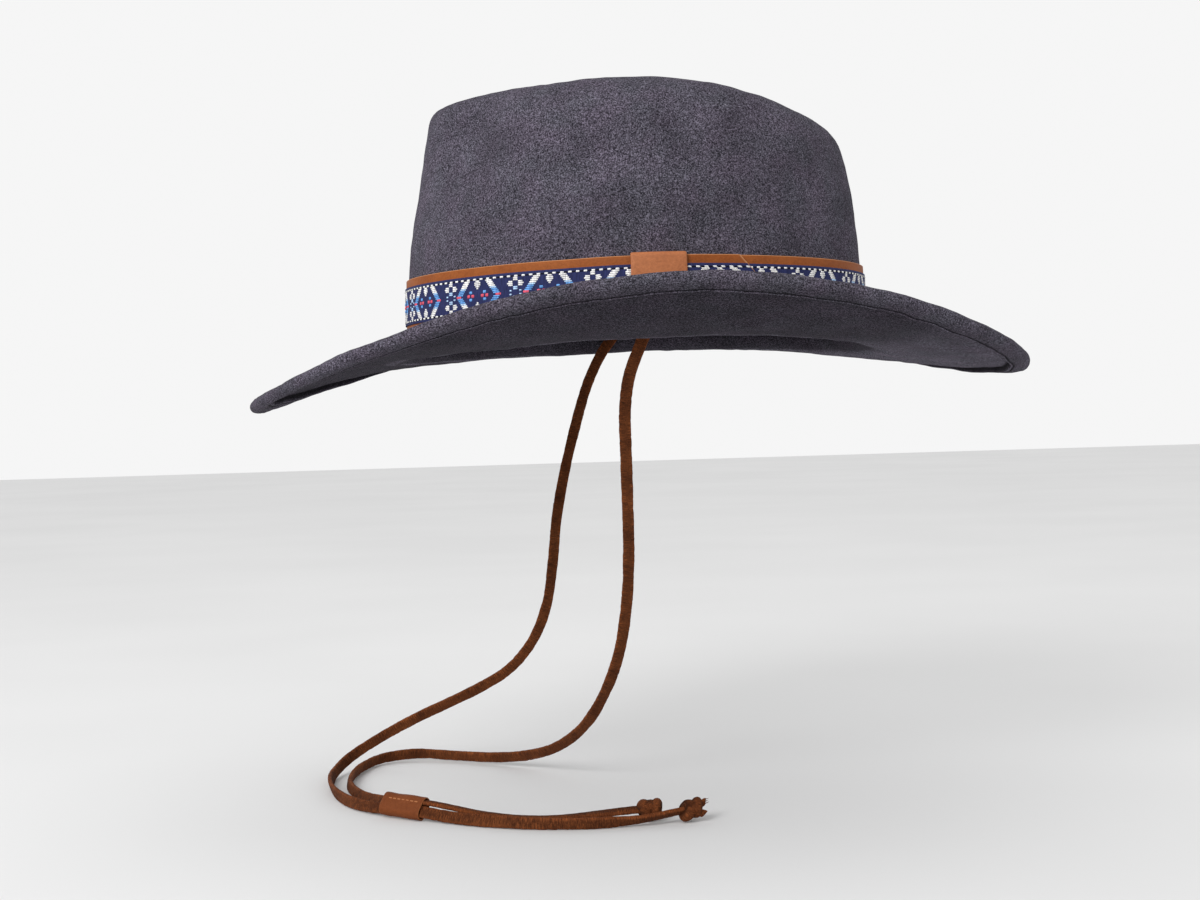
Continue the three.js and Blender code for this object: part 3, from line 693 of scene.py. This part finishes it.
def band_ribbon():
    """A navy strip, with each coloured float of thread on it as a small pad."""
    fine = np.linspace(BAND_START, BAND_END, RIBBON_RUN_STEPS)
    line = wall_point(fine, BELT_HEIGHT / 2, stand_off(fine) + BELT_THICK)
    run = run_along(line)
    flower = np.interp(side_angle(FLOWER_AT) + TAU, fine, run)
    length = run[-1] - RIBBON_SHORT

    def on_belt(u, h, proud):
        a = np.interp(u, run, fine)
        at = slanted(a, h)
        return wall_point(at, h, stand_off(at) + BELT_THICK + proud + end_lift(a))

    low = (BELT_HEIGHT - RIBBON_HEIGHT) / 2
    outline = rounded_outline(low, low + RIBBON_HEIGHT, RIBBON_CLEAR, RIBBON_THICK, RIBBON_RADII, 8)
    u, h = np.meshgrid(np.linspace(0, length, BAND_STEPS), outline[:, 0], indexing="ij")
    strip = on_belt(u, h, outline[:, 1])
    rows, cols = u.shape

    floats = ribbon_floats(flower, length)
    starts, ends, levels, talls = (floats[:, k, None] for k in range(4))
    high = FLOAT_PROUD * np.minimum(np.array(PAD["high"])[:, None], PAD["dome"])
    pad_u = starts + (ends - starts) * PAD["along"]
    pad_u = np.repeat(pad_u[:, :, None], len(PAD["across"]), 2)
    pad_h = PAD["half"] * talls[..., None] * np.array(PAD["wide"])[:, None] * PAD["across"]
    pad_h = levels[..., None] + pad_h
    pads = on_belt(pad_u, pad_h, RIBBON_THICK + high)
    pad_faces = np.array(grid_faces(*high.shape, close_cols=False))
    pad_faces = pad_faces + (rows * cols + high.size * np.arange(len(levels)))[:, None, None]

    faces = grid_faces(rows, cols) + end_caps(rows, cols) + pad_faces.reshape(-1, 4).tolist()
    piece = make_mesh("ribbon", np.concatenate([strip.reshape(-1, 3), pads.reshape(-1, 3)]), faces)
    ground = np.tile(RIBBON_INK["ground"], (rows * cols, 1))
    put_colour(piece, "thread", np.concatenate([ground, np.repeat(floats[:, 4:], high.size, 0)]))
    strip_uv = np.stack([u, h], -1).reshape(-1, 2)
    pad_uv = np.stack([pad_u, pad_h], -1).reshape(-1, 2)
    put_uv(piece, np.concatenate([strip_uv, pad_uv]) * MM)
    return piece


def rounded_ends(first, count):
    """How far a sleeve's wall steps in at each station. It does so only by its ends."""
    return np.array([*first, *[0] * (count - 2 * len(first)), *first[::-1]])


def band_keeper():
    """A strip of leather wrapped round both layers of the band, its face a little domed."""
    near = KEEPER["stand"]
    far = near + KEEPER["back"] + BAND_GAP + 2 * LAYER_PITCH + KEEPER["front"]
    low = -KEEPER["slack"] - KEEPER["wall"]
    path = rounded_outline(low, BELT_HEIGHT - low, near, far, KEEPER["radii"], 13, 6, KEEPER["bow"])
    x = KEEPER["from"] + (KEEPER["to"] - KEEPER["from"]) * np.array(KEEPER_STATIONS)
    angle = np.array([side_angle(value) for value in x])
    inset = rounded_ends(KEEPER_INSET, len(x))

    def layer(depth):
        a, h = np.meshgrid(angle, path[:, 0], indexing="ij")
        back = depth[:, None]
        return wall_point(a, h - path[:, 2] * back, path[:, 1] - path[:, 3] * back)

    outer = layer(inset)
    inner = layer(KEEPER["wall"] - inset)
    outer = outer + uneven(outer, KEEPER_DENTS)[..., None] * np.array((0, -1, 0))
    loop = np.concatenate([outer, inner[::-1]])
    return make_mesh("keeper", loop.reshape(-1, 3), grid_faces(*loop.shape[:2], close_rows=True))


# Lace


def turn_at(share, twist):
    """A twist table read at shares of the length, with soft steps between its rows."""
    at, turn = np.array(twist, float).T
    k = np.clip(np.searchsorted(at, share) - 1, 0, len(at) - 2)
    return turn[k] + (turn[k + 1] - turn[k]) * ease((share - at[k]) / (at[k + 1] - at[k]))


class Route:
    """A centripetal Catmull-Rom curve in even steps, whose section turns by a twist table."""

    def __init__(self, points, twist, steps):
        points = np.asarray(points, float)
        self.points = points
        dense = np.concatenate([self.stretch(k) for k in range(len(points) - 1)] + [points[-1:]])
        run = run_along(dense)
        self.length = run[-1]
        self.run = np.linspace(0, self.length, steps + 1)
        self.line = np.stack([np.interp(self.run, run, dense[:, k]) for k in range(3)], -1)
        self.tangent = unit(np.gradient(self.line, axis=0))
        normals = [self.first_normal()]
        for after in self.tangent[1:]:
            n = normals[-1] - after * np.dot(normals[-1], after)
            normals.append(n / np.linalg.norm(n))
        normals = np.array(normals)
        turn = np.radians(turn_at(np.linspace(0, 1, steps + 1), twist))[:, None]
        cross = np.cross(self.tangent, normals)
        self.normal = normals * np.cos(turn) + cross * np.sin(turn)
        self.binormal = np.cross(self.tangent, self.normal)

    def stretch(self, k):
        """The curve from one point of the route to the next."""
        p = self.points
        before = p[k - 1] if k > 0 else 2 * p[0] - p[1]
        after = p[k + 2] if k + 2 < len(p) else 2 * p[-1] - p[-2]
        knots = [before, p[k], p[k + 1], after]
        d = [max(np.dot(b - a, b - a) ** 0.25, 1e-4) for a, b in zip(knots[:-1], knots[1:])]
        x0, x1, x2, x3 = knots
        t1 = ((x1 - x0) / d[0] - (x2 - x0) / (d[0] + d[1]) + (x2 - x1) / d[1]) * d[1]
        t2 = ((x2 - x1) / d[1] - (x3 - x1) / (d[1] + d[2]) + (x3 - x2) / d[2]) * d[1]
        t = np.linspace(0, 1, 40, endpoint=False)[:, None]
        return x1 + t1 * t + (-3 * x1 + 3 * x2 - 2 * t1 - t2) * t**2 + (2 * x1 - 2 * x2 + t1 + t2) * t**3

    def first_normal(self):
        """Square to the start, turned from whichever axis lies most across it."""
        start = self.tangent[0]
        axis = min(range(3), key=lambda k: (abs(start[k]), -k))
        return np.cross(start, unit(np.cross(start, np.eye(3)[axis])))


def lace_outline():
    """Half the thickness against half the width, with softly rounded edges."""
    turn = TAU * np.arange(LACE_SIDES) / LACE_SIDES
    face, edge = np.cos(turn), np.sin(turn)
    thick = LACE_THICK / 2 * np.copysign(np.abs(face) ** FACE_ROUND, face)
    return np.stack([thick, LACE_WIDE / 2 * np.copysign(np.abs(edge) ** EDGE_ROUND, edge)], -1)


def make_lace(name, route, seed, taper=0.0):
    """A flat lace along a route. It narrows over the last stretch, as long as taper."""
    outline = lace_outline()
    line = route.line[:, None]
    wide = 1 + uneven(route.line, WIDTH_WAVES, seed)
    if taper:
        wide = wide * (1 - KNOT_NARROW * (1 - ease((route.length - route.run) / taper)))
    section = outline[None] * np.stack([np.ones_like(wide), wide], -1)[:, None]
    points = line + route.normal[:, None] * section[..., :1] + route.binormal[:, None] * section[..., 1:]
    edge = (np.abs(outline[:, 1]) * 2 / LACE_WIDE) ** 4 + 0 * wide[:, None]
    push = uneven(points, FACE_WAVES, seed) - edge * np.maximum(uneven(points, EDGE_NICKS, seed), 0)
    points = points + push[..., None] * unit(points - line)
    piece = swept(name, points, grid_uv(route.run, run_along(outline)))
    put_shade(piece, "edge", edge.ravel(), PLAIN_LACE)
    return piece


def hidden_points():
    """The hidden lace's route, from both exits up and round the back inside the crown."""
    first = math.asin(LACE_EXIT[0] / HIDDEN["long"]) - math.pi / 2
    share = np.linspace(0, 1, HIDDEN["points"] + 1)
    angle = first * (1 - 2 * (share - HIDDEN["crowd"] * np.sin(TAU * share)))
    run = np.minimum((-first - np.abs(angle)) * HIDDEN["wide"] / HIDDEN["run"], 1)
    level = LACE_EXIT[2] + HIDDEN["above"] + HIDDEN["rise"] * np.sqrt(np.maximum(1 - (1 - run) ** 2, 0))
    return np.stack([HIDDEN["long"] * np.cos(angle), HIDDEN["wide"] * np.sin(angle), level], -1)


# Slider and knots


def slider_outline(straight):
    """The sleeve's outline: across and up on its round ends, and what to add to up."""
    turns = []
    for side in (1, -1):
        for step in range(13):
            turn = math.pi * step / 12
            turns.append((side * math.cos(turn), side * math.sin(turn), side * straight))
        for step in range(1, 8):
            turns.append((-side, 0, side * straight * (1 - step / 4)))
    return np.array(turns)


def make_slider():
    """A flat leather sleeve with a row of stitches on its front."""
    along = unit(SLIDER["along"])
    lean = math.radians(SLIDER["lean"])
    up = math.sin(lean) * np.array((-along[1], along[0], 0)) + (0, 0, math.cos(lean))
    across = np.cross(along, up)
    middle = np.array(SLIDER["middle"])
    straight = (SLIDER["tall"] - SLIDER["deep"]) / 2
    outline = slider_outline(straight)
    ends = np.concatenate([[-1, -0.985, -0.95], np.linspace(-0.85, 0.85, 12), [0.95, 0.985, 1]])
    inset = rounded_ends(SLIDER_INSET, len(ends))

    def wall(depths):
        radius = (SLIDER["deep"] / 2 - depths)[:, None, None]
        start = middle + along * (ends * SLIDER["length"] / 2)[:, None, None]
        return start + across * (radius * outline[:, :1]) + up * (outline[:, 2:] + radius * outline[:, 1:2])

    outer = wall(inset)
    outer = outer + uneven(outer, SLIDER_DENTS)[..., None] * np.array((0, 0, 1))
    sleeve = np.concatenate([outer, wall(SLIDER["wall"] - inset)[::-1]])
    cut = np.zeros(sleeve.shape[:2])
    cut[[0, 1, -2, -1]] = SLIDER_CUT_SHADE
    cut[len(ends) - 2:len(ends) + 2] = SLIDER_CUT_SHADE
    parts = Parts()
    parts.add(sleeve, cut, close_rows=True, flip=True)

    front = -1 if across[1] > 0 else 1
    high = np.minimum(np.array((0, 0.8, 1, 0.8, 0))[:, None], (0, 0.75, 1, 0.75, 0))
    reach = front * (SLIDER["deep"] / 2 - STITCH["sunk"] + STITCH["proud"] * high)
    level = straight - STITCH["drop"] + STITCH["wide"] / 2 * np.array((-1, -0.6, 0, 0.6, 1))
    for number in range(STITCH["count"]):
        end = STITCH["first"] + STITCH["spread"] * number / (STITCH["count"] - 1)
        run = end * SLIDER["length"] / 2 + STITCH["long"] / 2 * np.array((-1, -0.8, 0, 0.8, 1))
        pad = middle + along * run[:, None, None] + across * reach[..., None] + up * level[:, None]
        parts.add(pad, 1.0, close_cols=False)
    return parts.join("slider", "raw")


def wrap_ring(wrap, outline, seed):
    """One wrap of a knot: a closed ring of flat lace, domed outward."""
    shift, tilt, yaw, height, width, rise, rise_at = wrap
    tilt, yaw = math.radians(tilt), math.radians(yaw)
    flat = np.array((math.cos(tilt) * math.cos(yaw), math.sin(yaw), math.sin(tilt) * math.cos(yaw)))
    first = unit(np.cross(flat, (0, 1, 0)))
    second = np.cross(flat, first)
    turn = np.linspace(0, TAU, WRAP_SIDES, endpoint=False)
    outward = (first * np.cos(turn)[:, None] + second * np.sin(turn)[:, None])[:, None]
    size = height + rise * np.cos(turn - math.radians(rise_at))
    dome = outline[:, 0] * WRAP_THICK - WRAP_DOME * outline[:, 1] ** 2
    ring = outward * (size[:, None] + dome)[..., None] + (shift, 0, 0)
    ring = ring + flat * (outline[:, 1] * width / 2)[:, None]
    return ring + uneven(ring, WRAP_WAVES, seed)[..., None] * outward


def stub_grids(stub, outline, seed):
    """The lace's cut end: its tube, its cut face and its loose strands, each with a shade."""
    start, end = np.array(stub["start"]), np.array(stub["end"])
    run = unit(end - start)
    thin = unit(np.cross(run, (0, 0, 1)))
    wide = np.cross(thin, run)
    share = np.array((0, 0.3, 0.6, 0.85, 1))[:, None, None]
    slant = outline[None, :, 1:] * 0.8 * (share > 0.8)
    size = np.where(share > 0.9, 0.86, 1.0)
    tube = (start + (end - start) * share + run * slant
            + thin * (outline[None, :, :1] * stub["thick"] / 2 * size)
            + wide * (outline[None, :, 1:] * stub["wide"] / 2 * size))
    cap = tube[-1].mean(0)
    face = np.stack([cap + (tube[-1] - cap) * shrink for shrink in (1, 0.4, 0.02)])
    grids = [(tube, np.abs(outline[:, 1]) ** 4), (face, 1.0)]
    spread = STRAND_THICK * np.stack([wide, thin, -wide, -thin])
    rng = np.random.default_rng(seed)
    for _ in range(stub["strands"]):
        root = cap + wide * rng.uniform(-0.45, 0.45) * stub["wide"]
        root = root + thin * rng.uniform(-0.4, 0.4) * stub["thick"]
        tip = root + run * rng.uniform(0.8, 1.9) + rng.normal(size=3) * 0.45
        stations = ((root - run * 0.4, 1), ((root + tip) / 2, 0.7), (tip, 0.15))
        grids.append((np.stack([at + spread * size for at, size in stations]), STRAND_SHADE))
    return grids


def make_knot(name, spec, stubs, seed):
    """A tight overhand knot: wraps of flat lace round a core, and the lace's cut ends, with painted shade
    in the creases and on the core.
    """
    axis = unit(spec["along"])
    side = unit(np.cross((0, 0, 1), axis))
    axes = np.stack([axis, side, np.cross(axis, side)])
    parts = Parts()

    def add(local, shade, **closing):
        parts.add(np.array(spec["middle"]) + local @ axes, shade, **closing)

    polar = np.linspace(0.05, math.pi - 0.05, 14)[:, None]
    turn = np.linspace(0, TAU, 24, endpoint=False)
    ball = (-np.cos(polar), np.sin(polar) * np.cos(turn), np.sin(polar) * np.sin(turn))
    add(np.stack(np.broadcast_arrays(*ball), -1) * spec["core"], CORE_PAINTED_SHADE, flip=True)
    outline = lace_outline() * (2 / LACE_THICK, 2 / LACE_WIDE)
    for wrap in spec["wraps"]:
        # Each wrap is paler across its face, with painted shade on its edges where it creases into the next
        # wrap.
        add(wrap_ring(wrap, outline, seed), 0.45 - 1.3 * np.abs(outline[:, 1]) ** 4, close_rows=True)
        seed += 1
    for stub in stubs:
        for grid, shade in stub_grids(stub, outline, seed):
            add(grid, shade)
    piece = parts.join(name, "edge", PLAIN_LACE)
    uv = [grid_uv(run_along(grid[:, 0]), run_along(grid[0])) for grid in parts.grids]
    put_uv(piece, np.concatenate([places + k * UV_APART for k, places in enumerate(uv)]))
    return piece


# Materials


def new_material(name):
    material = bpy.data.materials.new(name)
    material.use_nodes = True
    tree = material.node_tree
    shader = tree.nodes["Principled BSDF"]
    return material, tree, shader


def node(tree, kind, **values):
    made = tree.nodes.new(kind)
    for key, value in values.items():
        if key in made.inputs:
            made.inputs[key].default_value = value
        else:
            setattr(made, key, value)
    return made


def link(tree, source, target):
    tree.links.new(source, target)


def object_space(tree):
    return node(tree, "ShaderNodeTexCoord").outputs["Object"]


def flat_uv(tree, size):
    """The UV layer in metres, stretched by a size along and across."""
    made = node(tree, "ShaderNodeMapping", Scale=(*size, 1))
    link(tree, node(tree, "ShaderNodeUVMap", uv_map="flat").outputs["UV"], made.inputs["Vector"])
    return made.outputs["Vector"]


def painted(tree, layer):
    return node(tree, "ShaderNodeVertexColor", layer_name=layer).outputs["Color"]


def noise(tree, vector, scale, detail, roughness=0.55, distortion=0.0):
    made = node(tree, "ShaderNodeTexNoise", Scale=scale, Detail=detail, Roughness=roughness,
                Distortion=distortion)
    link(tree, vector, made.inputs["Vector"])
    return made.outputs["Fac"]


def grey(value):
    return (value, value, value)


def ramp(tree, value, stops):
    made = node(tree, "ShaderNodeValToRGB")
    link(tree, value, made.inputs["Fac"])
    elements = made.color_ramp.elements
    while len(elements) < len(stops):
        elements.new(0.5)
    for element, (place, colour) in zip(elements, stops):
        element.position = place
        element.color = (*colour, 1)
    return made.outputs["Color"]


def fill(tree, sockets, values):
    """Gives each socket its value, by a link where that is a socket."""
    for socket, value in zip(sockets, values):
        if isinstance(value, bpy.types.NodeSocket):
            link(tree, value, socket)
        else:
            socket.default_value = value


def mix(tree, share, a, b, blend="MIX"):
    made = node(tree, "ShaderNodeMix", data_type="RGBA", blend_type=blend)
    fill(tree, (made.inputs[0], made.inputs[6], made.inputs[7]), (share, a, b))
    return made.outputs[2]


def tinted(tree, colour, value, stops):
    """A colour multiplied by a ramp of a value."""
    return mix(tree, 1.0, colour, ramp(tree, value, stops), "MULTIPLY")


def math_node(tree, operation, a, b):
    made = node(tree, "ShaderNodeMath", operation=operation)
    fill(tree, made.inputs, (a, b))
    return made.outputs[0]


def coat(tree, shader, colour, roughness, gloss):
    link(tree, colour, shader.inputs["Base Color"])
    shader.inputs["Roughness"].default_value = roughness
    shader.inputs["Specular IOR Level"].default_value = gloss


def bump(tree, shader, height, strength, distance):
    made = node(tree, "ShaderNodeBump", Strength=strength, Distance=distance)
    link(tree, height, made.inputs["Height"])
    link(tree, made.outputs["Normal"], shader.inputs["Normal"])


def felt_material():
    """Heathered grey felt with fine hairs, darker by painted shade and lighter by painted highlight where
    its shade layer says so.
    """
    material, tree, shader = new_material("felt")
    space = object_space(tree)
    cloud = noise(tree, space, 48, 3, 0.5)
    hue = noise(tree, space, 75, 2, 0.5)
    tuft = noise(tree, space, 620, 3, 0.6)
    fibre = noise(tree, space, 1700, 4, 0.72)
    hair = noise(tree, space, 1150, 2, 0.5, 2.2)
    base = ramp(tree, hue, ((0.34, (0.063, 0.054, 0.072)), (0.66, (0.057, 0.054, 0.068))))
    base = tinted(tree, base, cloud, ((0.3, grey(0.78)), (0.7, grey(1.18))))
    base = tinted(tree, base, tuft, ((0.3, (0.78, 0.77, 0.78)), (0.7, grey(1.20))))
    base = tinted(tree, base, fibre, ((0.38, (0.12, 0.11, 0.13)), (0.5, grey(0.9)), (0.62, grey(2.8))))
    pale = ramp(tree, hair, ((0.62, grey(0)), (0.71, (0.085, 0.083, 0.093))))
    base = mix(tree, 1.0, base, pale, "ADD")
    # Painted shade and painted highlight from the felt's shade layer: above 0.3 darker, below it lighter.
    base = tinted(tree, base, painted(tree, "painted_shade_and_light"), (
        (0.05, grey(1.35)), (0.3, grey(1)), (0.65, (0.46, 0.45, 0.46)), (1, grey(0.07))))
    coat(tree, shader, base, 0.96, 0.04)
    shader.inputs["Sheen Weight"].default_value = 0.03
    shader.inputs["Sheen Roughness"].default_value = 0.5
    shader.inputs["Sheen Tint"].default_value = (0.72, 0.70, 0.80, 1)
    nap = math_node(tree, "ADD", fibre, math_node(tree, "MULTIPLY", tuft, 0.8))
    bump(tree, shader, nap, 0.6, 0.0005)
    return material


def leather_material(name, dark, light, raw=None, gloss=0.3):
    """Smooth leather with a fine grain. raw is the colour of its cut edges."""
    material, tree, shader = new_material(name)
    space = object_space(tree)
    fine = noise(tree, space, 900, 4, 0.7)
    colour = ramp(tree, noise(tree, space, 70, 4), ((0.3, dark), (0.7, light)))
    colour = tinted(tree, colour, fine, ((0.32, (0.86, 0.84, 0.82)), (0.68, grey(1.12))))
    if raw:
        colour = mix(tree, painted(tree, "raw"), colour, (*raw, 1))
    coat(tree, shader, colour, 0.6, gloss)
    cells = node(tree, "ShaderNodeTexVoronoi", Scale=1300)
    link(tree, space, cells.inputs["Vector"])
    bump(tree, shader, math_node(tree, "ADD", cells.outputs["Distance"], fine), 0.5, 0.00018)
    return material


def suede_material():
    """Brown suede with fine streaks across the lace, paler on its edges, and darker by painted shade in the
    knots' creases and on their cores.
    """
    material, tree, shader = new_material("lace")
    space = object_space(tree)
    streak = noise(tree, flat_uv(tree, (2400, 330)), 1.0, 4, 0.7)
    speck = noise(tree, space, 1500, 3, 0.7)
    patch = noise(tree, space, 110, 4)
    colour = ramp(tree, patch, ((0.28, (0.058, 0.017, 0.006)), (0.72, (0.120, 0.037, 0.012))))
    colour = tinted(tree, colour, streak, (
        (0.34, (0.45, 0.42, 0.40)), (0.52, (1.0, 0.98, 0.95)), (0.70, (2.3, 2.2, 2.0))))
    colour = tinted(tree, colour, speck, ((0.35, grey(0.75)), (0.7, grey(1.3))))
    # Paler cut edges, and painted shade in the knots' creases and on their cores.
    colour = tinted(tree, colour, painted(tree, "edge"), (
        (0, (0.3, 0.29, 0.28)), (0.5, grey(1)), (1, (1.6, 1.55, 1.5))))
    coat(tree, shader, colour, 0.8, 0.08)
    bump(tree, shader, math_node(tree, "ADD", streak, speck), 0.7, 0.0003)
    return material


def ribbon_material():
    """Woven thread, with fine strands along it and ribs across it."""
    material, tree, shader = new_material("ribbon")
    strand = noise(tree, flat_uv(tree, (900, 5200)), 1.0, 3, 0.6)
    rib = noise(tree, flat_uv(tree, (3400, 260)), 1.0, 2, 0.5)
    colour = tinted(tree, painted(tree, "thread"), strand, ((0.3, (0.78, 0.78, 0.80)), (0.7, grey(1.1))))
    colour = tinted(tree, colour, rib, ((0.35, (0.62, 0.62, 0.66)), (0.65, grey(1.28))))
    coat(tree, shader, colour, 0.75, 0.2)
    bump(tree, shader, math_node(tree, "ADD", rib, strand), 0.6, 0.00012)
    return material


def floor_material():
    material, tree, shader = new_material("floor")
    tone = ramp(tree, noise(tree, object_space(tree), 3, 2), ((0.3, grey(0.71)), (0.7, grey(0.74))))
    coat(tree, shader, tone, 0.9, 0.5)
    return material


def dress(piece, material, slot, *nodes):
    piece.data.materials.append(material)
    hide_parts(*nodes)
    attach(piece, "root")


make_camera()

near = Route(NEAR_ROUTE + (NEAR_INTO_KNOT,), NEAR_TWIST, 640)
far = Route(FAR_ROUTE + (FAR_INTO_KNOT,), FAR_TWIST, 560)
inside = Route(hidden_points(), NO_TWIST, 300)
lace_look = suede_material()
slider_look = leather_material(
    "slider_leather", (0.130, 0.034, 0.0095), (0.18, 0.050, 0.0145), (0.36, 0.14, 0.055), gloss=0.1)

lace_near = make_lace("lace_near", near, 51, KNOT_TAPER)
lace_far = make_lace("lace_far", far, 61, KNOT_TAPER)
lace_inside = make_lace("lace_inside", inside, 71)
knot_near = make_knot("knot_near_wraps", KNOT_NEAR, STUBS_NEAR, 81)
knot_far = make_knot("knot_far_wraps", KNOT_FAR, STUBS_FAR, 91)
slider = make_slider()
dress(lace_near, lace_look, "lace", "strap_near")
dress(lace_far, lace_look, "lace", "strap_far")
dress(lace_inside, lace_look, "lace", "strap_inside")
dress(knot_near, lace_look, "lace", "knot_near")
dress(knot_far, lace_look, "lace", "knot_far")
dress(slider, slider_look, "slider_leather", "strap_slider")

felt = felt_body()
dress(felt, felt_material(), "felt", "felt_body")
belt = band_leather()
belt_look = leather_material(
    "band_leather", (0.23, 0.060, 0.012), (0.30, 0.087, 0.019), (0.60, 0.28, 0.12), gloss=0.15)
dress(belt, belt_look, "band_leather", "band_leather")
ribbon = band_ribbon()
dress(ribbon, ribbon_material(), "ribbon", "band_ribbon")
keeper = band_keeper()
keeper_look = leather_material("keeper_leather", (0.35, 0.115, 0.041), (0.42, 0.145, 0.053))
dress(keeper, keeper_look, "band_leather", "band_keeper")

floor = make_mesh("floor", FLOOR_CORNERS, [[0, 1, 2, 3]], smooth=False)
floor.data.materials.append(floor_material())
make_world()
make_light()
